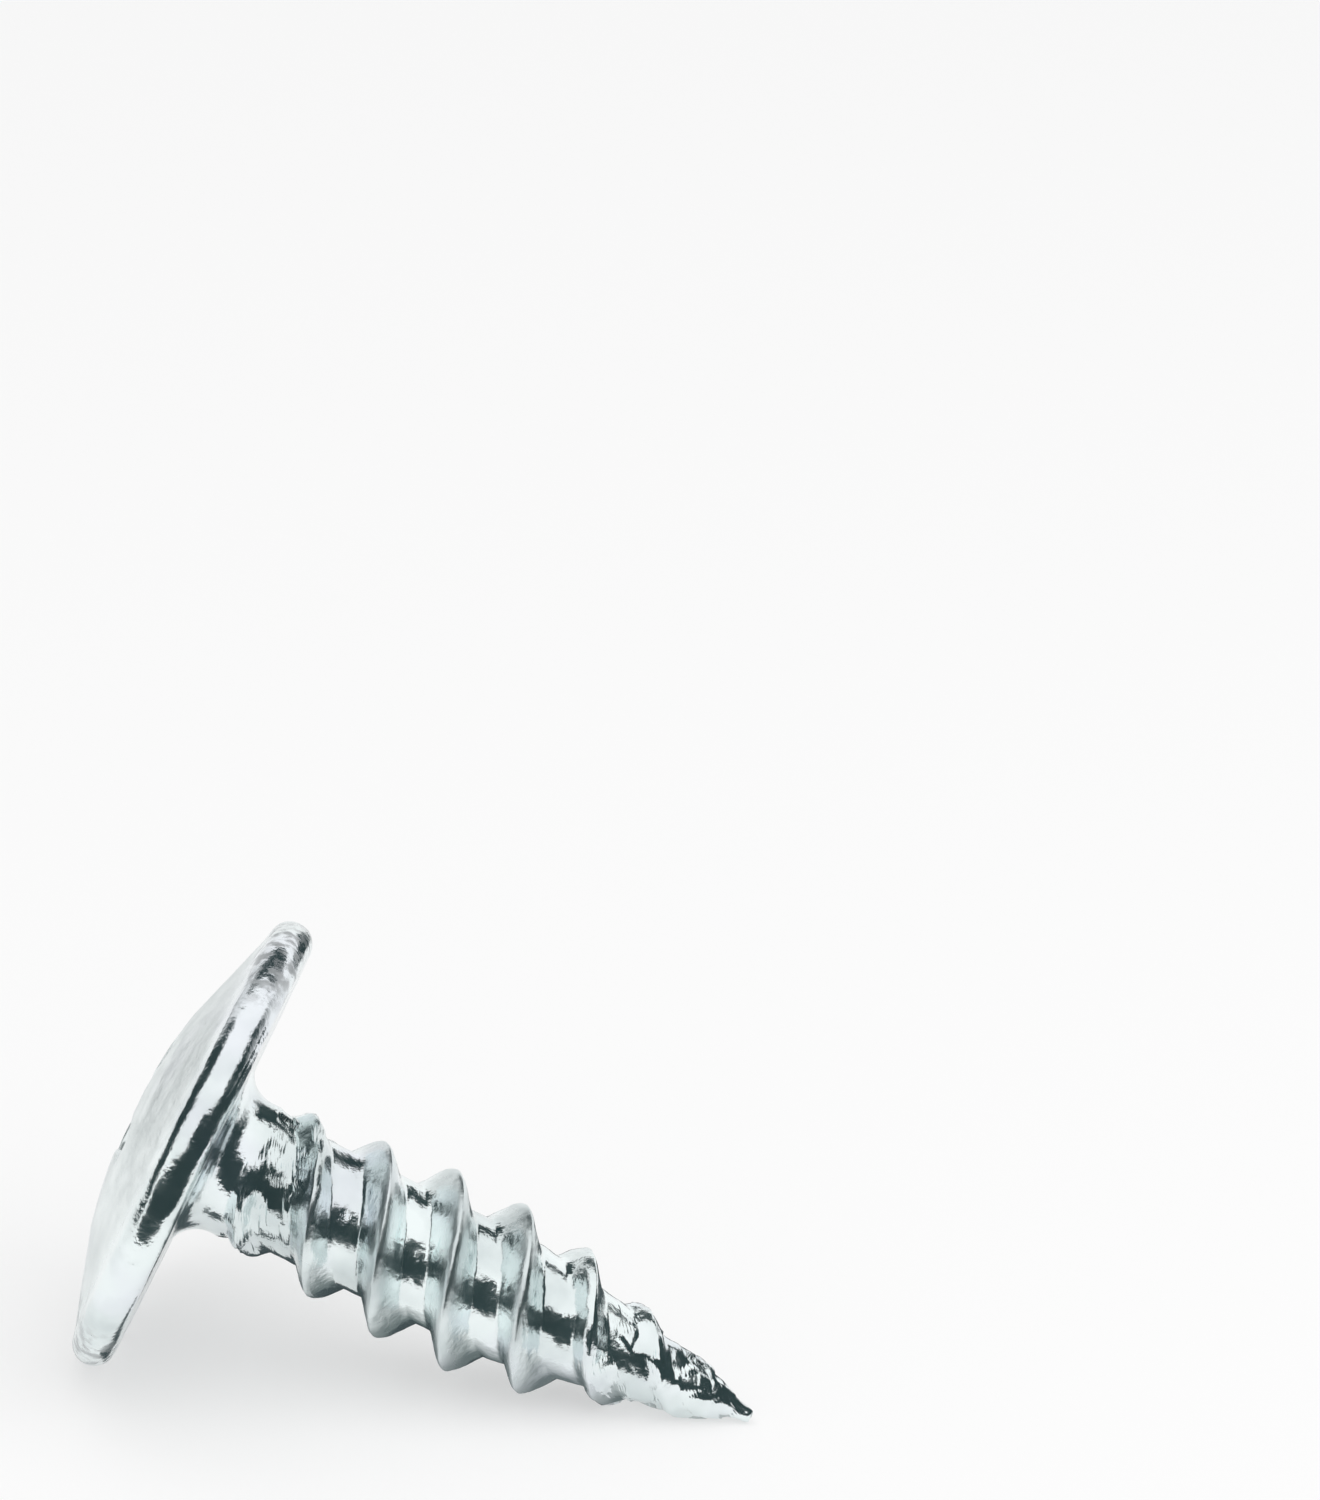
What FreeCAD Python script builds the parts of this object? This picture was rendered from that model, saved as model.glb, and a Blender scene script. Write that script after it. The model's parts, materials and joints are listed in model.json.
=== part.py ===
# Wafer-head drywall screw, size 4.2 x 13, with a twin-start coarse thread and a cross recess.
# It is cold-headed and thread-rolled from one piece of wire, so it is one solid.
import FreeCAD, Part
import math
import os
import Sketcher

V = FreeCAD.Vector
NODE = "drywall_screw"
doc = FreeCAD.newDocument(NODE)

# Sizes in millimetres and degrees, on the screw's own axis: z = 0 is the face under the head,
# the crown is above it and the point is at z = -length
sizes = {
    "head_diameter": 10.6,
    "head_height": 1.95,
    "rim_radius": 0.48,
    "flange_height": 1.45,
    "flange_diameter": 6.2,
    "button_height": 1.66,
    "button_diameter": 5.2,
    "length": 13.0,
    "neck_diameter": 3.1,
    "neck_fillet": 0.7,
    "neck_length": 0.9,
    "neck_taper": 0.5,
    "core_diameter": 2.75,
    "point_length": 5.7,
    "nose_length": 0.9,
    "nose_diameter": 0.86,
    "thread_diameter": 4.1,
    "thread_lead": 3.3,
    "thread_starts": 2,
    "crest_width": 0.25,
    "flank_angle": 27.0,
    "thread_gap": 1.0,
    "first_crest_run": 1.7,
    "first_crest_diameter": 1.7,
    "runout_length": 3.8,
    "recess_width": 4.35,
    "recess_wing": 0.92,
    "recess_depth": 2.3,
    "recess_end_width": 2.1,
    "recess_end_wing": 0.55,
    "recess_core_diameter": 1.9,
    "recess_core_end_diameter": 1.1,
    "recess_cone": 0.3,
    "thread_phase": 35.0,
}
sheet = doc.addObject("Spreadsheet::Sheet", "sizes")
for row, (name, value) in enumerate(sizes.items(), start=1):
    sheet.set("A%d" % row, name)
    sheet.set("B%d" % row, str(value))
    sheet.setAlias("B%d" % row, name)
doc.recompute()


class Size(float):
    """A number worked out from the sheet, which keeps the expression that gives it."""

    def __new__(cls, value, text=None):
        made = super().__new__(cls, value)
        made.text = text or repr(value)
        return made

    def joined(self, sign, other, value):
        text = other.text if isinstance(other, Size) else repr(other)
        return Size(value, "(%s %s %s)" % (self.text, sign, text))

    def __add__(self, other):
        return self.joined("+", other, float(self) + float(other))

    def __sub__(self, other):
        return self.joined("-", other, float(self) - float(other))

    def __mul__(self, other):
        return self.joined("*", other, float(self) * float(other))

    def __truediv__(self, other):
        return self.joined("/", other, float(self) / float(other))

    def __neg__(self):
        return self * -1


def size(name):
    return Size(float(getattr(sheet, name)), "sizes." + name)


length = size("length")
head_height = size("head_height")
head_radius = size("head_diameter") / 2
neck_radius = size("neck_diameter") / 2
neck_length = size("neck_length")
core_radius = size("core_diameter") / 2
point_length = size("point_length")
nose_length = size("nose_length")
nose_radius = size("nose_diameter") / 2
thread_radius = size("thread_diameter") / 2
thread_lead = size("thread_lead")


def origin_part(body, role):
    """A plane or an axis of a body's own origin."""
    return next(part for part in body.Origin.OriginFeatures if part.Role == role)


def new_sketch(body, name, role, height=None):
    """A sketch on one of the body's origin planes, or raised above it."""
    sketch = body.newObject("Sketcher::SketchObject", name)
    sketch.AttachmentSupport = (origin_part(body, role), [""])
    sketch.MapMode = "FlatFace"
    if height is not None:
        sketch.setExpression("AttachmentOffset.Base.z", height.text)
    return sketch


def place(sketch, edge, end, x, y):
    """Holds one end of an edge, or an arc's centre (end 3), at x and y from the sheet."""
    for kind, value, axis in (("DistanceX", x, -2), ("DistanceY", y, -1)):
        if value == 0:
            sketch.addConstraint(Sketcher.Constraint("PointOnObject", edge, end, axis))
        else:
            held = Sketcher.Constraint(kind, -1, 1, edge, end, float(value))
            sketch.setExpression("Constraints[%d]" % sketch.addConstraint(held), value.text)


def join(sketch, kind, first, first_end, second, second_end):
    """Two edges share an end, and with the kind Tangent they also run smoothly into each other."""
    sketch.addConstraint(Sketcher.Constraint(kind, first, first_end, second, second_end))


def straight_outline(sketch, corners):
    """A closed outline of straight lines, with each corner held by the sheet."""
    points = [V(x, y, 0) for x, y in corners]
    ring = points[1:] + points[:1]
    sketch.addGeometry([Part.LineSegment(a, b) for a, b in zip(points, ring)], False)
    for i, (x, y) in enumerate(corners):
        join(sketch, "Coincident", i, 2, (i + 1) % len(corners), 1)
        place(sketch, i, 1, x, y)


def turned(body, kind, name, sketch):
    """A full turn of a sketch about the screw's axis, as a Revolution or a Groove."""
    feature = body.newObject("PartDesign::" + kind, name)
    feature.Profile = sketch
    feature.ReferenceAxis = (sketch, ["V_Axis"])
    feature.Angle = 360
    return feature


def arc(centre, start, end):
    """An arc that runs counter-clockwise from start to end."""
    circle = Part.Circle(centre, V(0, 0, 1), (start - centre).Length)
    return Part.ArcOfCircle(circle, circle.parameter(start), circle.parameter(end))


# Blank: wafer head with a raised button, filleted neck, core and two-cone point
rim = size("rim_radius")
fillet = size("neck_fillet")
core_top = -(neck_length + size("neck_taper"))
point_top = point_length - length
flange_radius = size("flange_diameter") / 2
flange_height = size("flange_height")
button_radius = size("button_diameter") / 2
button_height = size("button_height")

crown_drop = head_height - button_height
dome_radius = float((button_radius * button_radius + crown_drop * crown_drop) / crown_drop / 2)

tip = V(0, -length, 0)
nose_end = V(nose_radius, nose_length - length, 0)
core_end = V(core_radius, point_top, 0)
core_start = V(core_radius, core_top, 0)
neck_end = V(neck_radius, -neck_length, 0)
neck_start = V(neck_radius, -fillet, 0)
bearing_inner = V(neck_radius + fillet, 0, 0)
bearing_outer = V(head_radius - rim, 0, 0)
rim_top = V(head_radius - rim, rim * 2, 0)
flange_top = V(flange_radius, flange_height, 0)
button_edge = V(button_radius, button_height, 0)
crown = V(0, head_height, 0)

blank = doc.addObject("PartDesign::Body", "blank")
profile = new_sketch(blank, "blank_profile", "XZ_Plane")
edges = [
    Part.LineSegment(tip, nose_end),
    Part.LineSegment(nose_end, core_end),
    Part.LineSegment(core_end, core_start),
    Part.LineSegment(core_start, neck_end),
    Part.LineSegment(neck_end, neck_start),
    arc(V(neck_radius + fillet, -fillet, 0), bearing_inner, neck_start),
    Part.LineSegment(bearing_inner, bearing_outer),
    arc(V(head_radius - rim, rim, 0), bearing_outer, rim_top),
    Part.LineSegment(rim_top, flange_top),
    Part.LineSegment(flange_top, button_edge),
    arc(V(0, head_height - dome_radius, 0), button_edge, crown),
    Part.LineSegment(crown, tip),
]
NOSE, POINT, CORE, TAPER, NECK, FILLET, BEARING, RIM, FLANGE, SHOULDER, DOME, AXIS = range(len(edges))
profile.addGeometry(edges, False)
join(profile, "Coincident", NOSE, 2, POINT, 1)
join(profile, "Coincident", POINT, 2, CORE, 1)
join(profile, "Coincident", CORE, 2, TAPER, 1)
join(profile, "Coincident", TAPER, 2, NECK, 1)
join(profile, "Coincident", NECK, 2, FILLET, 2)
join(profile, "Tangent", FILLET, 1, BEARING, 1)
join(profile, "Tangent", BEARING, 2, RIM, 1)
join(profile, "Tangent", RIM, 2, FLANGE, 1)
join(profile, "Coincident", FLANGE, 2, SHOULDER, 1)
join(profile, "Coincident", SHOULDER, 2, DOME, 1)
join(profile, "Coincident", DOME, 2, AXIS, 1)
join(profile, "Coincident", AXIS, 2, NOSE, 1)
place(profile, NOSE, 1, 0, -length)
place(profile, POINT, 1, nose_radius, nose_length - length)
place(profile, CORE, 1, core_radius, point_top)
place(profile, CORE, 2, core_radius, core_top)
place(profile, NECK, 1, neck_radius, -neck_length)
place(profile, NECK, 2, neck_radius, -fillet)
place(profile, BEARING, 1, neck_radius + fillet, 0)
place(profile, RIM, 3, head_radius - rim, rim)
held = profile.addConstraint(Sketcher.Constraint("Radius", RIM, float(rim)))
profile.setExpression("Constraints[%d]" % held, rim.text)
place(profile, SHOULDER, 1, flange_radius, flange_height)
place(profile, SHOULDER, 2, button_radius, button_height)
place(profile, AXIS, 1, 0, head_height)
profile.addConstraint(Sketcher.Constraint("PointOnObject", DOME, 3, -2))
turned(blank, "Revolution", "blank_turned", profile)

# Cross recess: two crossing slots that narrow downwards, and a tapered core with a cone at its end.
# Both cuts start a little above the crown
RISE = 0.3
recess_depth = size("recess_depth")
recess_floor = head_height - recess_depth


def at_rise(top, end):
    """A width of the recess, given at the crown, at the level where the cuts start."""
    return top + (top - end) / recess_depth * RISE


def slot_sketch(name, width, wing, height):
    sketch = new_sketch(blank, name, "XY_Plane", height)
    x, y = width / 2, wing / 2
    straight_outline(sketch, [(x, y), (-x, y), (-x, -y), (x, -y)])
    return sketch


recess_end_width = size("recess_end_width")
recess_end_wing = size("recess_end_wing")
slot_mouth = slot_sketch(
    "slot_mouth",
    at_rise(size("recess_width"), recess_end_width),
    at_rise(size("recess_wing"), recess_end_wing),
    head_height + RISE,
)
slot_floor = slot_sketch("slot_floor", recess_end_width, recess_end_wing, recess_floor)
slot = blank.newObject("PartDesign::SubtractiveLoft", "recess_slot")
slot.Profile = slot_mouth
slot.Sections = [slot_floor]
slot.Ruled = True
doc.recompute()
slots = blank.newObject("PartDesign::PolarPattern", "recess_slots")
slots.Originals = [slot]
slots.Axis = (slot_mouth, ["N_Axis"])
slots.Angle = 90
slots.Occurrences = 2
blank.Tip = slots

core_mouth_radius = at_rise(size("recess_core_diameter"), size("recess_core_end_diameter")) / 2
core_end_radius = size("recess_core_end_diameter") / 2
core_sketch = new_sketch(blank, "recess_core_profile", "XZ_Plane")
straight_outline(
    core_sketch,
    [
        (0, recess_floor - size("recess_cone")),
        (core_end_radius, recess_floor),
        (core_mouth_radius, head_height + RISE),
        (0, head_height + RISE),
    ],
)
turned(blank, "Groove", "recess_core", core_sketch)

# Thread: a ridge for each start, lofted through sections that follow the core. A ridge is made in
# stretches of less than a turn, which also end wherever the line of the core or of the crest bends
LONGEST_STRETCH = 0.8
SECTIONS_PER_TURN = 24
ROOT_SHARE = 0.7
SINK = 0.08
crest_width = size("crest_width")
flank_slope = math.tan(math.radians(size("flank_angle")))
shank_top = length - neck_length
runout_start = shank_top - size("runout_length")


def radius_at(line, run):
    """The radius at a distance from the tip, on a line of straight stretches."""
    for (start, first), (end, last) in zip(line, line[1:]):
        if run <= end:
            return first + (last - first) * (run - start) / (end - start)
    return line[-1][1]


# How far along the shank, from the tip, the radius of the core and of the crest are set
thread_gap = size("thread_gap")
core_line = [
    (0, 0),
    (nose_length, nose_radius),
    (point_length, core_radius),
    (shank_top, core_radius),
]
crest_line = [
    (thread_gap, radius_at(core_line, thread_gap) - SINK),
    (size("first_crest_run"), size("first_crest_diameter") / 2),
    (point_length, thread_radius),
    (runout_start, thread_radius),
    (shank_top, neck_radius - SINK),
]


def ridge_section(run, turn):
    """The ridge's section in a plane through the axis, from inside the core to the crest."""
    crest = radius_at(crest_line, run)
    root = radius_at(core_line, run) * ROOT_SHARE
    top_half = crest_width / 2
    root_half = top_half + (crest - root) * flank_slope
    corners = [(root, -root_half), (crest, -top_half), (crest, top_half), (root, root_half)]
    x, y = math.cos(turn), math.sin(turn)
    points = [V(r * x, r * y, run + along - length) for r, along in corners]
    return Part.makePolygon(points + points[:1])


def ridge(start, end, first_turn):
    count = math.ceil((end - start) / thread_lead * SECTIONS_PER_TURN)
    runs = [start + (end - start) * i / count for i in range(count + 1)]
    turns = [first_turn + 2 * math.pi * run / thread_lead for run in runs]
    return Part.makeLoft([ridge_section(*place) for place in zip(runs, turns)], True)


stretches = []
bends = [run for run, _ in crest_line]
for start, end in zip(bends, bends[1:]):
    count = math.ceil((end - start) / thread_lead / LONGEST_STRETCH)
    step = (end - start) / count
    stretches += [(start + step * i, start + step * (i + 1)) for i in range(count)]

ridges = []
thread_phase = math.radians(size("thread_phase"))
thread_starts = int(size("thread_starts"))
for number in range(thread_starts):
    for start, end in stretches:
        feature = doc.addObject("Part::Feature", "ridge_%d" % (len(ridges) + 1))
        feature.Shape = ridge(start, end, thread_phase + 2 * math.pi * number / thread_starts)
        ridges.append(feature)

screw = doc.addObject("Part::MultiFuse", NODE)
screw.Label = NODE
screw.Shapes = [blank] + ridges
doc.recompute()

# Rest: the screw lies on its rim and its point, its axis in the XZ plane and its point towards +X,
# and it has rolled about its axis to where its weight is lowest
MESH = 0.02
surface = screw.Shape.tessellate(MESH)[0]
rim_points = [p for p in surface if math.hypot(p.x, p.y) > head_radius - rim]
thread_points = [p for p in surface if p.z < point_top]
weight = screw.Shape.Solids[0].CenterOfMass


def rolled(points, roll):
    """Each point's height over the axis, once the screw has rolled, and its place along the axis."""
    return [(p.x * math.cos(roll) - p.y * math.sin(roll), p.z) for p in points]


def lowest(points, tilt):
    """How low the points reach when the axis slopes down towards the point by the tilt."""
    return min(x * math.cos(tilt) + z * math.sin(tilt) for x, z in points)


def rest(roll):
    """How high the weight lies once the screw has rolled by this much, with the axis's tilt."""
    rim_side = rolled(rim_points, roll)
    thread_side = rolled(thread_points, roll)
    low, high = 0.0, math.pi / 3
    while high - low > 1e-6:
        tilt = (low + high) / 2
        if lowest(rim_side, tilt) < lowest(thread_side, tilt):
            low = tilt
        else:
            high = tilt
    return lowest(rolled([weight], roll), tilt) - lowest(rim_side, tilt), tilt, roll


ROUGH_STEP = math.radians(5)
FINE_STEP = math.radians(0.5)
rough = min(rest(ROUGH_STEP * step) for step in range(-18, 18))
height, tilt, roll = min(rest(rough[2] + FINE_STEP * step) for step in range(-10, 11))
tipped = FreeCAD.Rotation(V(0, 1, 0), math.degrees(tilt) - 90)
laid = tipped * FreeCAD.Rotation(V(0, 0, 1), math.degrees(roll))
lying = [laid.multVec(p) for p in surface]
middle = (min(p.x for p in lying) + max(p.x for p in lying)) / 2
floor = min(p.z for p in lying)
screw.Placement = FreeCAD.Placement(V(-middle, 0, -floor), laid)
doc.recompute()

# Every object has to be sound before anything is written
for item in doc.Objects:
    if "Invalid" in item.State or "Error" in item.State:
        raise RuntimeError("%s failed: %s" % (item.Name, item.State))
shape = screw.Shape
if shape.isNull() or not shape.isValid() or len(shape.Solids) != 1:
    raise RuntimeError("%s isn't one valid solid" % NODE)

seat = screw.Placement.multVec(V(0, 0, 0))
along = screw.Placement.Rotation.multVec(V(0, 0, -1))
print("tilt", round(math.degrees(tilt), 3), "roll", round(math.degrees(roll), 2))
print("seat", tuple(round(c, 4) for c in seat), "axis", tuple(round(c, 6) for c in along))
print("volume", round(shape.Volume, 3), "box", shape.BoundBox)

os.makedirs("parts", exist_ok=True)
shape.exportStep("parts/%s.step" % NODE)
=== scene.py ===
import json
import math

import bmesh
import bpy
from mathutils import Matrix, Vector, noise


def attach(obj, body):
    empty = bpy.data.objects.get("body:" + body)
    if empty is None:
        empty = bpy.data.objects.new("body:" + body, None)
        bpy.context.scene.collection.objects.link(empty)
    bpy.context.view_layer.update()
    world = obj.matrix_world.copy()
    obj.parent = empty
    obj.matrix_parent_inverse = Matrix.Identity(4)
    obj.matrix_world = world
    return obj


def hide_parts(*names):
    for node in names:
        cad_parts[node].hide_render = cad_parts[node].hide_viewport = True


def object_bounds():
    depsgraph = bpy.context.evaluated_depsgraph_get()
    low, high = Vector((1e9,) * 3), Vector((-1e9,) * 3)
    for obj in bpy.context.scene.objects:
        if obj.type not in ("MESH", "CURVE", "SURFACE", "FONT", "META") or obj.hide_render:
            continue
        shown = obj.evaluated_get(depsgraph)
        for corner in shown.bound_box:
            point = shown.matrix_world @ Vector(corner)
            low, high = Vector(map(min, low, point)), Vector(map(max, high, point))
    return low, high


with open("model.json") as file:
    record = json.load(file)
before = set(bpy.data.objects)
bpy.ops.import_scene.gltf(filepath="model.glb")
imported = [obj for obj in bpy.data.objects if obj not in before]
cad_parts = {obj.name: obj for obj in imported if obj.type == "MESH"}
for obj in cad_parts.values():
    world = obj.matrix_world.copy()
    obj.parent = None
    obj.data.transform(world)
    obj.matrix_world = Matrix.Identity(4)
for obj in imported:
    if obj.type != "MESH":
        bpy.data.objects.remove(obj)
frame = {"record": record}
cad_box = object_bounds()

# Screw: cut from steel wire. The wafer head and its cross recess are pressed cold, the twin thread is
# rolled on, and the whole is plated with bright zinc. The rolling leaves the thread ragged where it
# runs out under the head and on the point. It lies on its rim and its thread.
# Sizes are in millimetres, and a run is a distance from the tip along the axis
COLUMNS = 192
RING_STEP = 0.05

LENGTH = 13.0
CROWN = 1.95
BUTTON_RADIUS = 2.6
BUTTON_HEIGHT = 1.66
HEAD_RADIUS = 5.3
RIM_RADIUS = 0.48
NECK_RADIUS = 1.55
NECK_FILLET = 0.7
NECK_END = 12.1
ROLL = math.radians(4.5)

RECESS_FLOOR = -0.35
RECESS_CONE = 0.3
RECESS_END = {"length": 1.05, "width": 0.275, "core": 0.55}
RECESS_MOUTH = {"length": 2.175, "width": 0.46, "core": 0.95}
EDGE_DROP = 0.03
EDGE_SHARE = 0.03

LEAD = 3.36
PHASE = math.radians(57.4)
CREST_HALF = 0.13
FLANK = 0.51
ROUNDING = 0.17
CORE_LINE = [
    (0, 0),
    (0.9, 0.45),
    (1.6, 0.64),
    (2.5, 0.8),
    (5.7, 1.375),
    (11.6, 1.375),
    (12.1, 1.55),
    (13, 1.55),
]
CREST_LINE = [
    (1.0, 0.5),
    (1.7, 0.78),
    (3.1, 1.19),
    (4.8, 1.77),
    (6.5, 2.03),
    (8.3, 2.03),
    (9.8, 1.88),
    (11.4, 1.72),
    (12.05, 1.66),
    (12.4, 1.5),
]
TIP_RUN = 0.06
BLUNT_RADIUS = 0.1
BLUNT_RUN = 0.3


def at(line, run):
    """The radius at a distance from the tip, on a line of straight stretches."""
    for (start, first), (end, last) in zip(line, line[1:]):
        if run <= end:
            return first + (last - first) * max(run - start, 0) / (end - start)
    return line[-1][1]


def smooth(value):
    """Eases from 0 to 1 while the value goes from 0 to 1."""
    value = min(max(value, 0), 1)
    return value * value * (3 - 2 * value)


def dome(radius):
    """The height of the button's round top over the bearing face."""
    drop = CROWN - BUTTON_HEIGHT
    sphere = (BUTTON_RADIUS**2 + drop**2) / (2 * drop)
    return CROWN - sphere + math.sqrt(sphere**2 - radius**2)


def recess_reach(angle, height):
    """How far the recess's outline is from the axis: four wings, and a round core between them."""
    share = (height - RECESS_FLOOR) / (CROWN - RECESS_FLOOR)
    size = {name: end + (RECESS_MOUTH[name] - end) * share for name, end in RECESS_END.items()}
    reaches = [size["core"]]
    for x, y in ((math.cos(angle), math.sin(angle)), (math.sin(angle), math.cos(angle))):
        reaches.append((abs(x / size["length"]) ** 6 + abs(y / size["width"]) ** 6) ** (-1 / 6))
    return sum(reach**8 for reach in reaches) ** (1 / 8)


def place_recess(angle, radius, height):
    """A point of the recess's wall, or of the dome round it, from its place on the turned blank."""
    core = RECESS_MOUTH["core"]
    mouth = recess_reach(angle, dome(recess_reach(angle, CROWN)))
    if radius > core - 1e-4:
        share = (radius - core) / (BUTTON_RADIUS - core)
        radius = mouth + (BUTTON_RADIUS - mouth) * share
        return radius, dome(radius) - EDGE_DROP * max(1 - share / EDGE_SHARE, 0)
    share = (height - RECESS_FLOOR) / (CROWN - RECESS_FLOOR)
    height = RECESS_FLOOR + (dome(mouth) - EDGE_DROP - RECESS_FLOOR) * share
    return recess_reach(angle, height), height


def place_thread(angle, run):
    """The radius of the shank at a distance from the tip, where the thread's crests wind round it."""
    core = at(CORE_LINE, run)
    height = max(at(CREST_LINE, run) - core, 0) if run > CREST_LINE[0][0] else 0
    turn = (angle - PHASE - 2 * math.pi * run / LEAD) % math.pi
    away = min(turn, math.pi - turn) * LEAD / (2 * math.pi)
    on_runout = smooth((run - 10.2) / 1.2)
    on_nose = smooth((2.6 - run) / 1.2)
    ragged = on_runout + on_nose
    where = Vector((math.cos(angle), math.sin(angle), run)) * 2.3
    height *= 1 + 0.45 * ragged * noise.noise(where)
    flank = height * FLANK
    rise = smooth((CREST_HALF + flank + ROUNDING - away) / (flank + 2 * ROUNDING))
    return core + height * rise


def arc(centre, radius, start, end, steps):
    """Points of the outline on an arc, between two angles in degrees."""
    turns = [math.radians(start + (end - start) * step / steps) for step in range(steps + 1)]
    return [(centre[0] + radius * math.cos(turn), centre[1] + radius * math.sin(turn)) for turn in turns]


recess_wall = [(0, RECESS_FLOOR - RECESS_CONE), (0.28, RECESS_FLOOR - RECESS_CONE / 2)]
for share in (0, 0.04, 0.12, 0.25, 0.4, 0.55, 0.7, 0.82, 0.92, 0.98):
    core = RECESS_END["core"] + (RECESS_MOUTH["core"] - RECESS_END["core"]) * share
    recess_wall.append((core, RECESS_FLOOR + (CROWN - RECESS_FLOOR) * share))
dome_rings = [(r, CROWN) for r in (0.95, 0.98, 1.03, 1.1, 1.2, 1.35, 1.55, 1.75, 1.95, 2.15, 2.35, 2.5)]
shoulder = [
    (2.6, 1.658),
    (2.75, 1.61),
    (2.9, 1.56),
    (3.05, 1.512),
    (3.25, 1.45),
    (3.5, 1.375),
    (3.8, 1.28),
    (4.1, 1.187),
    (4.4, 1.09),
    (4.65, 1.01),
]
rim = arc((HEAD_RADIUS - RIM_RADIUS, RIM_RADIUS), RIM_RADIUS, 74, -90, 16)
bearing = [(r, 0) for r in (4.5, 4.1, 3.7, 3.3, 2.9, 2.5)]
fillet = arc((NECK_RADIUS + NECK_FILLET, -NECK_FILLET), NECK_FILLET, 90, 180, 10)
neck = [(NECK_RADIUS, -0.8)]
runs = [NECK_END - RING_STEP * step for step in range(int(NECK_END / RING_STEP) + 1)]
shank = [(max(at(CORE_LINE, run), 0.02), run - LENGTH) for run in runs if run > TIP_RUN]
tip = [(0.11, 0.05 - LENGTH), (0.07, 0.02 - LENGTH), (0, 0.01 - LENGTH)]

blank = recess_wall + dome_rings + shoulder + rim + bearing + fillet + neck + shank + tip
mesh = bmesh.new()
corners = [mesh.verts.new((r, 0, z)) for r, z in blank]
edges = [mesh.edges.new(pair) for pair in zip(corners, corners[1:])]
bmesh.ops.spin(
    mesh,
    geom=corners + edges,
    cent=(0, 0, 0),
    axis=(0, 0, 1),
    dvec=(0, 0, 0),
    angle=2 * math.pi,
    steps=COLUMNS,
    use_merge=True,
)
bmesh.ops.remove_doubles(mesh, verts=mesh.verts, dist=1e-5)

# The turned blank gets its recess and its thread. The shank's columns wind with the thread, so that
# its crests run along them
CLOSE = 0.01
for corner in mesh.verts:
    x, y, height = corner.co
    angle = math.atan2(y, x)
    radius = math.hypot(x, y)
    run = height + LENGTH
    within_mouth = RECESS_END["core"] - CLOSE < radius < RECESS_MOUTH["core"] + CLOSE
    if within_mouth and height > RECESS_FLOOR - CLOSE or height > CROWN - CLOSE:
        radius, height = place_recess(angle, radius, height)
    elif run < NECK_END + CLOSE and radius > 1e-3:
        angle += 2 * math.pi * (run - NECK_END) / LEAD
        blunt = BLUNT_RADIUS * math.exp(-((run / BLUNT_RUN) ** 2))
        radius = max(place_thread(angle, run) + blunt, radius if run < TIP_RUN else 0)
    corner.co = (radius * math.cos(angle), radius * math.sin(angle), height)


def chipped(where):
    """How high a surface stands that is broken into small slanted facets."""
    centre = noise.voronoi(where)[1][0]
    return (noise.cell_vector(centre * 7) - Vector((0.5, 0.5, 0.5))).dot(where - centre)


# The plating and the rolling leave the surface a little uneven, most of all at both ends of the thread
bmesh.ops.recalc_face_normals(mesh, faces=mesh.faces)
mesh.normal_update()
shifts = []
for corner in mesh.verts:
    run = corner.co.z + LENGTH
    radius = corner.co.xy.length
    on_shank = smooth((12.2 - run) / 0.3)
    chips = smooth((run - 10.5) / 0.6) * on_shank + smooth((4.2 - run) / 1.6)
    rim_worn = smooth((radius - 4.6) / 0.5)
    shift = noise.noise(corner.co * 2.6) * (0.006 + 0.012 * on_shank)
    shift += noise.noise(corner.co * 1.3 + Vector((9, 4, 2))) * 0.006
    shift += noise.noise(corner.co * 6.5 + Vector((4, 1, 6))) * 0.009 * on_shank
    shift += rim_worn * 0.02 * noise.noise(corner.co * 2.0 + Vector((1, 5, 7)))
    shift += chips * 0.13 * chipped(corner.co * 2.4 + Vector((3, 8, 1)))
    shifts.append(corner.normal * shift)
for corner, shift in zip(mesh.verts, shifts):
    if corner.co.xy.length > 0.05:
        corner.co += shift

place = mesh.verts.layers.float_vector.new("place")
for corner in mesh.verts:
    corner[place] = corner.co
seat = next(mount for mount in frame["record"]["mounts"] if mount["name"] == "head_seat")
to_point = Vector(seat["axis"]).normalized()
across = Vector((0, 1, 0))
leaning = Matrix((across.cross(-to_point), across, -to_point)).transposed().to_4x4()
rolled = Matrix.Rotation(ROLL, 4, "Z")
in_metres = Matrix.Scale(0.001, 4)
lying = Matrix.Translation(seat["pos_m"]) @ leaning @ rolled @ in_metres
bmesh.ops.transform(mesh, matrix=lying, verts=mesh.verts)
bmesh.ops.recalc_face_normals(mesh, faces=mesh.faces)
for face in mesh.faces:
    face.smooth = True
screw_mesh = bpy.data.meshes.new("screw")
mesh.to_mesh(screw_mesh)
mesh.free()
screw = bpy.data.objects.new("screw", screw_mesh)
bpy.context.scene.collection.objects.link(screw)


class Reading:
    """A shader socket that can stand in a sum, which adds its Math nodes."""

    def __init__(self, finish, socket):
        self.finish = finish
        self.socket = socket

    def math(self, operation, first, second):
        return self.finish.node("Math", {"operation": operation}, {0: first, 1: second})

    def __add__(self, other):
        return self.math("ADD", self, other)

    def __radd__(self, other):
        return self.math("ADD", other, self)

    def __mul__(self, other):
        return self.math("MULTIPLY", self, other)

    def __rmul__(self, other):
        return self.math("MULTIPLY", other, self)

    def clamped(self, low, high):
        return self.finish.node("MapRange", {}, {"Value": self, "From Min": low, "From Max": high})


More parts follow.
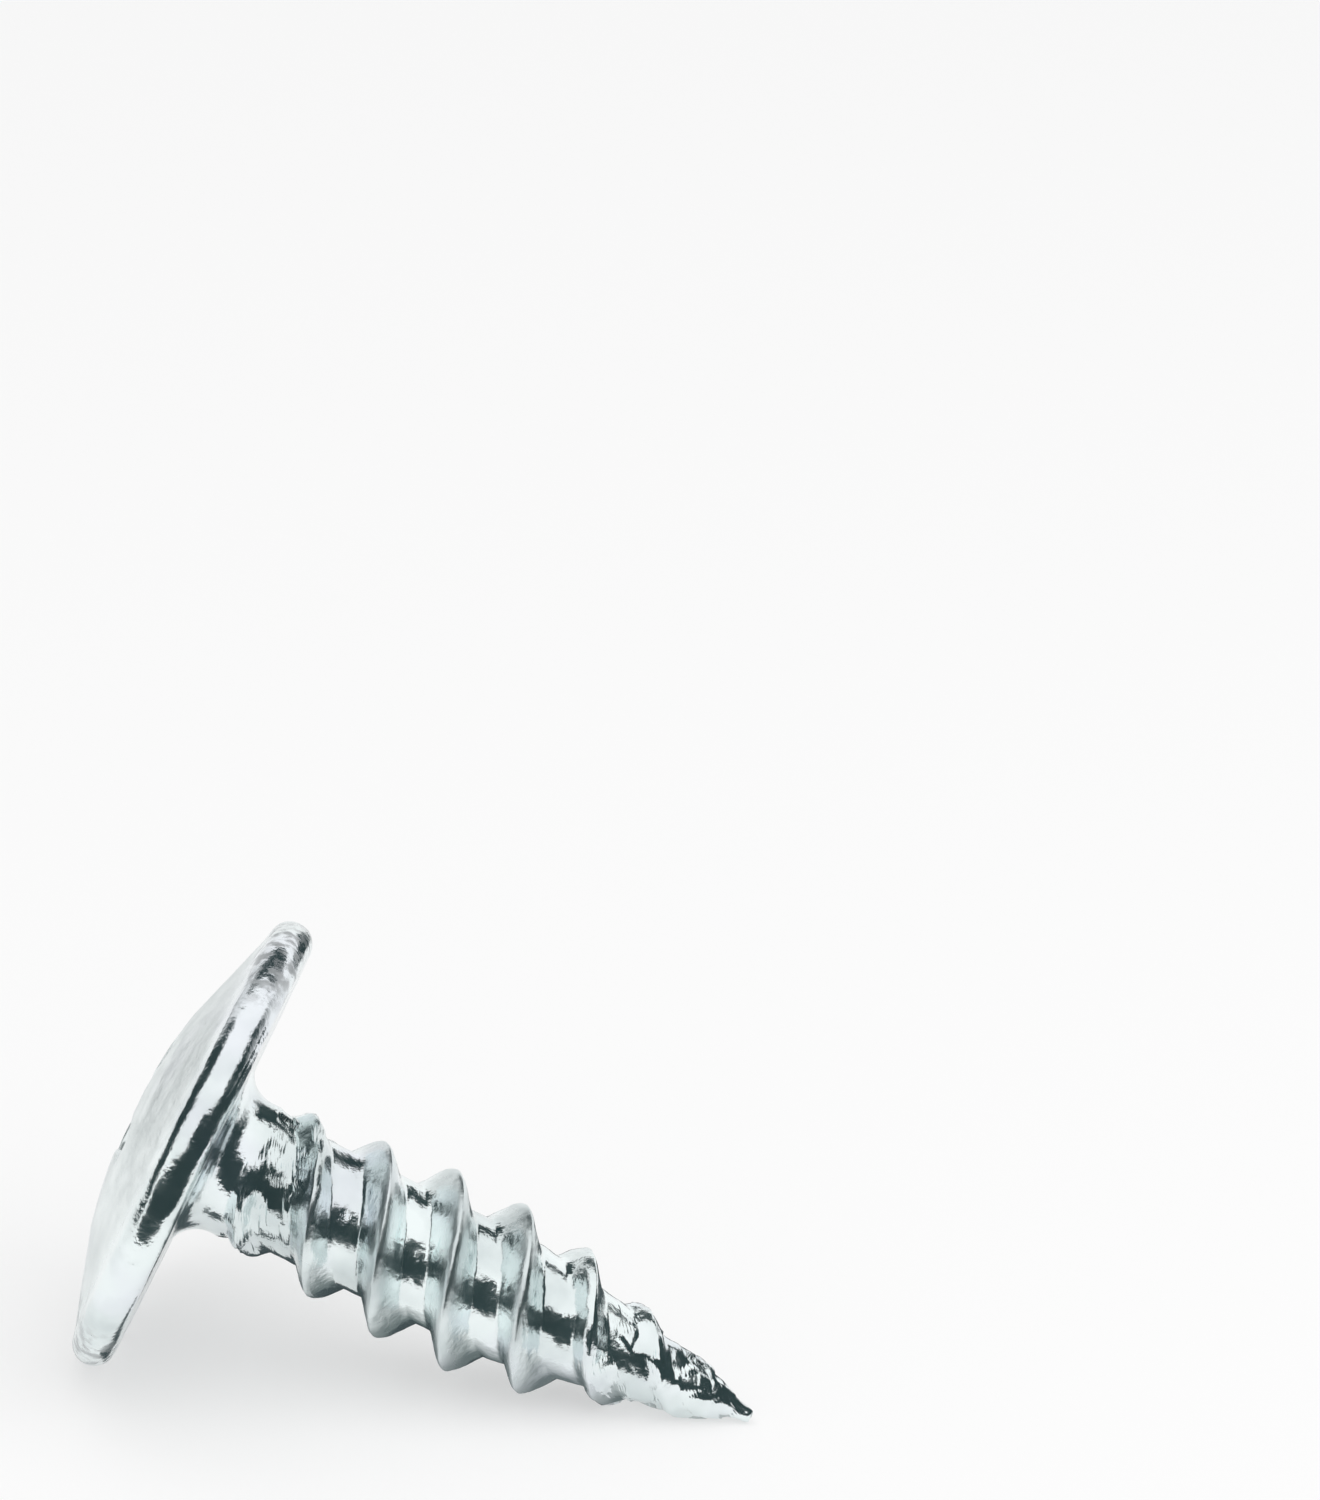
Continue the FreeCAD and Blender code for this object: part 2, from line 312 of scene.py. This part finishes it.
class Finish:
    """The shader nodes of a material or of the world."""

    def __init__(self, owner):
        owner.use_nodes = True
        self.tree = owner.node_tree
        self.tree.nodes.clear()

    def node(self, kind, settings, sockets, output=0):
        made = self.tree.nodes.new("ShaderNode" + kind)
        for name, value in settings.items():
            setattr(made, name, value)
        for name, value in sockets.items():
            if isinstance(value, Reading):
                self.tree.links.new(value.socket, made.inputs[name])
            else:
                made.inputs[name].default_value = value
        return Reading(self, made.outputs[output]) if made.outputs else None


def mixed(finish, share, first, second):
    return finish.node("Mix", {"data_type": "RGBA"}, {"Factor": share, 6: first, 7: second}, 2)


zinc = bpy.data.materials.new("bright_zinc")
finish = Finish(zinc)
own = finish.node("TexCoord", {}, {}, "Object")


def clouds(size, detail=2, roughness=0.5):
    """Soft noise whose features are about this many millimetres across."""
    sockets = {"Vector": own, "Scale": 1000 / size, "Detail": detail, "Roughness": roughness}
    return finish.node("TexNoise", {}, sockets)


# The places on the screw are in millimetres, from the middle of the bearing face and along the axis
on_screw = finish.node("Attribute", {"attribute_name": "place"}, {}, "Vector")
across_head = finish.node("SeparateXYZ", {}, {0: on_screw}, 0)
over_seat = finish.node("SeparateXYZ", {}, {0: on_screw}, 2)
flat = finish.node("VectorMath", {"operation": "MULTIPLY"}, {0: on_screw, 1: (1, 1, 0)})
from_axis = finish.node("VectorMath", {"operation": "LENGTH"}, {0: flat}, "Value")
on_dome = over_seat.clamped(0.9, 1.15)
on_crest = from_axis.clamped(1.55, 1.9) * over_seat.clamped(-0.8, -1.0)
at_ends = across_head.clamped(4.5, 5.0) + across_head.clamped(-2.9, -3.7)
worn = clouds(0.3, 3).clamped(0.45, 0.6) * at_ends
tarnish = clouds(1.6, 3).clamped(0.42, 0.66)
haze = clouds(0.5, 3).clamped(0.35, 0.7)
grain = clouds(0.12, 2)
lilac = clouds(2.4).clamped(0.5, 0.7)
plate = mixed(finish, tarnish, (0.9, 0.97, 0.97, 1), (0.7, 0.77, 0.775, 1))
plate = mixed(finish, lilac * 0.6, plate, (0.84, 0.86, 0.93, 1))
# Painted shade: the thread's crests are mixed a quarter of the way to a darker grey
plate = mixed(finish, on_crest * 0.25, plate, (0.54, 0.6, 0.605, 1))
plate = mixed(finish, on_dome * 0.5, plate, (0.9, 0.94, 0.935, 1))
plate = mixed(finish, worn * 0.8, plate, (0.5, 0.52, 0.53, 1))
roughness = 0.12 + haze * 0.1 + on_dome * 0.2 + on_crest * 0.16 + worn * 0.25
relief = grain * 0.4 + clouds(0.35, 3)
bump = finish.node("Bump", {}, {"Strength": 0.6, "Distance": 0.00003, "Height": relief})
shader = finish.node(
    "BsdfPrincipled",
    {},
    {"Base Color": plate, "Metallic": 1.0, "Roughness": roughness, "Normal": bump},
)
finish.node("OutputMaterial", {}, {"Surface": shader})
screw_mesh.materials.append(zinc)

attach(screw, "root")
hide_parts("drywall_screw")

# Table: a plain sheet of matt white paper, which lies flat under the screw and keeps its soft shadow.
# To the camera, and mirrored in the plating, half of it is plain white light
paper = bmesh.new()
bmesh.ops.create_grid(paper, x_segments=1, y_segments=1, size=2.5)
table_mesh = bpy.data.meshes.new("table")
paper.to_mesh(table_mesh)
paper.free()
table = bpy.data.objects.new("table", table_mesh)
bpy.context.scene.collection.objects.link(table)


def seen_rays(finish):
    """Is 1 for what the camera sees, also by way of a mirror or through glass."""
    kinds = ("Is Camera Ray", "Is Glossy Ray", "Is Transmission Ray")
    return sum(finish.node("LightPath", {}, {}, kind) for kind in kinds)


white = bpy.data.materials.new("white_paper")
finish = Finish(white)
matt = finish.node("BsdfDiffuse", {}, {"Color": (0.93, 0.93, 0.93, 1)})
lit = finish.node("Emission", {}, {"Color": (1, 1, 1, 1), "Strength": 1.0})
paper_look = finish.node("MixShader", {}, {0: seen_rays(finish) * 0.5, 1: matt, 2: lit})
finish.node("OutputMaterial", {}, {"Surface": paper_look})
table_mesh.materials.append(white)

# Studio: a pale room with a softbox overhead, seen square to the screw's axis and from a little above.
# Only the plating mirrors what stands round the screw, all of it painted reflection: dark screens at
# both of its ends, and dark cards in front of it, behind it and on the table, where grey cards are
# painted shadow
ELEVATION = math.radians(26)
azimuth = math.asin(-to_point.z / to_point.x * math.tan(ELEVATION))
level = Vector((math.sin(azimuth), -math.cos(azimuth), 0))
towards = level * math.cos(ELEVATION) + Vector((0, 0, math.sin(ELEVATION)))
side = towards.cross(to_point)
REFLECTED_DARK = (0.03, 0.05, 0.052, 1)
SHADOW_GREY = (0.06, 0.08, 0.085, 1)
PALE_SHADOW_GREY = (0.16, 0.19, 0.19, 1)

world = bpy.data.worlds.new("studio")
bpy.context.scene.world = world
finish = Finish(world)
direction = finish.node("TexCoord", {}, {}, "Generated")


def reach(way):
    """How far a direction of the room leans a way, from -1 to 1."""
    return finish.node("VectorMath", {"operation": "DOT_PRODUCT"}, {0: direction, 1: way}, "Value")


# Each screen stands between limits of how far a direction leans to the point, to the camera and up
along = reach(to_point)
before = reach(towards)
above = reach(side)
head_screen = along.clamped(-0.78, -0.86) * before.clamped(0.3, 0.2)
point_screen = along.clamped(0.58, 0.68) * along.clamped(0.99, 0.97) * before.clamped(-0.5, 0.1)
dome_screen = along.clamped(-0.25, -0.6) * before.clamped(-0.3, -0.6) * above.clamped(0.7, -0.1) * 0.6
low_screen = along.clamped(-0.6, -0.68) * before.clamped(-0.2, -0.35) * above.clamped(0.3, 0.0) * 0.8
painted_reflections = (head_screen + point_screen + dome_screen + low_screen).clamped(0, 1)
# Painted reflections: the screens are dark only in what the plating mirrors
in_metal = finish.node("LightPath", {}, {}, "Is Glossy Ray")
mirrored = mixed(finish, painted_reflections * in_metal, (1, 1, 1, 1), REFLECTED_DARK)
room = mixed(finish, seen_rays(finish), (0.64, 0.64, 0.64, 1), mirrored)
backdrop = finish.node("Background", {}, {"Color": room, "Strength": 1.0})
finish.node("OutputWorld", {}, {"Surface": backdrop})

light = bpy.data.lights.new("overhead", "AREA")
light.shape = "RECTANGLE"
light.size = 0.46
light.size_y = 0.3
light.energy = 0.36
softbox = bpy.data.objects.new("overhead", light)
overhead = Vector((0.35, -0.25, 0.9)).normalized()
overhead = (overhead - to_point * overhead.dot(to_point)).normalized()
aimed = Matrix((to_point, overhead.cross(to_point), overhead)).transposed().to_4x4()
softbox.matrix_world = Matrix.Translation(overhead * 0.2) @ aimed
softbox.visible_glossy = False
bpy.context.scene.collection.objects.link(softbox)


def card(name, colour, lower, upper, fade=0):
    """A card that only the plating mirrors, a painted reflection, from its two lower and its two upper
    corners. It can fade in from white, over a share of its way up."""
    tone = bpy.data.materials.new(name)
    finish = Finish(tone)
    if fade:
        own = finish.node("TexCoord", {}, {}, "UV")
        depth = finish.node("SeparateXYZ", {}, {0: own}, 1)
        colour = mixed(finish, depth.clamped(0, fade), (1, 1, 1, 1), colour)
    plain = finish.node("Emission", {}, {"Color": colour, "Strength": 1.0})
    finish.node("OutputMaterial", {}, {"Surface": plain})
    sheet = bmesh.new()
    sheet.loops.layers.uv.new("sheet")
    bmesh.ops.create_grid(sheet, x_segments=1, y_segments=1, size=0.5, calc_uvs=True)
    for vertex, corner in zip(sheet.verts, lower + upper):
        vertex.co = corner
    card_mesh = bpy.data.meshes.new(name)
    sheet.to_mesh(card_mesh)
    sheet.free()
    card_mesh.materials.append(tone)
    made = bpy.data.objects.new(name, card_mesh)
    bpy.context.scene.collection.objects.link(made)
    made.visible_camera = False
    made.visible_diffuse = False
    made.visible_transmission = False
    made.visible_shadow = False


# Cards on the table lie just over it
LOW = 0.0002
card(
    "head_card",
    REFLECTED_DARK,
    lower=[(-0.06, -0.051, LOW), (0.004, -0.0076, LOW)],
    upper=[(-0.06, -0.042, 0.023), (0.004, -0.042, 0.023)],
)
card(
    "front_card",
    REFLECTED_DARK,
    lower=[(-0.003, -0.0123, LOW), (0.012, -0.0021, LOW)],
    upper=[(0.004, -0.042, 0.037), (0.06, -0.042, 0.037)],
)
card(
    "point_card",
    REFLECTED_DARK,
    lower=[(0.0095, 0.006, LOW), (0.024, -0.036, LOW)],
    upper=[(0.0095, 0.006, 0.008), (0.024, -0.036, 0.008)],
)
card(
    "back_card",
    REFLECTED_DARK,
    lower=[(-0.06, 0.06, 0.043), (0.06, 0.06, 0.043)],
    upper=[(-0.06, 0.06, 0.095), (0.06, 0.06, 0.095)],
)
card(
    "neck_card",
    REFLECTED_DARK,
    lower=[(-0.0028, 0.007, 0.0073), (0.0015, 0.007, 0.0073)],
    upper=[(-0.0028, 0.007, 0.0105), (0.0015, 0.007, 0.0105)],
)
# Painted shadow: grey cards on the table, under and in front of the screw, which only the plating
# mirrors
card(
    "under_shadow_card",
    SHADOW_GREY,
    lower=[(-0.005, 0.0002, LOW), (0.012, 0.0002, LOW)],
    upper=[(-0.005, 0.011, LOW), (0.012, 0.011, LOW)],
)
card(
    "edge_shadow_card",
    SHADOW_GREY,
    lower=[(-0.0063, -0.0036, LOW), (-0.0036, -0.003, LOW)],
    upper=[(-0.0063, -0.0021, LOW), (-0.0036, -0.0021, LOW)],
    fade=0.3,
)
card(
    "near_shadow_card",
    PALE_SHADOW_GREY,
    lower=[(-0.002, -0.0021, LOW), (0.0046, -0.0017, LOW)],
    upper=[(-0.002, 0.0002, LOW), (0.0046, 0.0002, LOW)],
    fade=0.75,
)

# Camera: it looks square at the screw's axis, from a little above and through a long lens. The middle
# of the bearing face comes to stand at SEAT_PIXEL, and the axis falls to the right by SLOPE
FRAME_HEIGHT = 1500
FRAME_WIDTH = 1320
PIXELS_PER_METRE = 46300
SEAT_PIXEL = (211.7, 1153.5)
SLOPE = math.radians(26.1)
DISTANCE = 0.4
right = to_point * math.cos(SLOPE) + side * math.sin(SLOPE)
up = side * math.cos(SLOPE) - to_point * math.sin(SLOPE)
middle = (Vector(cad_box[0]) + Vector(cad_box[1])) / 2
from_seat = middle - Vector(seat["pos_m"])
middle_pixel = (
    SEAT_PIXEL[0] + from_seat.dot(right) * PIXELS_PER_METRE,
    SEAT_PIXEL[1] - from_seat.dot(up) * PIXELS_PER_METRE,
)
lens = bpy.data.cameras.new("camera")
lens.sensor_width = 36
lens.lens = lens.sensor_width * DISTANCE * PIXELS_PER_METRE / FRAME_HEIGHT
lens.shift_x = (FRAME_WIDTH / 2 - middle_pixel[0]) / FRAME_HEIGHT
lens.shift_y = (middle_pixel[1] - FRAME_HEIGHT / 2) / FRAME_HEIGHT
lens.clip_start = 0.01
camera = bpy.data.objects.new("camera", lens)
facing = Matrix((right, up, towards)).transposed().to_4x4()
camera.matrix_world = Matrix.Translation(middle + towards * DISTANCE) @ facing
bpy.context.scene.collection.objects.link(camera)
bpy.context.scene.camera = camera
bpy.context.scene.view_settings.view_transform = "Standard"
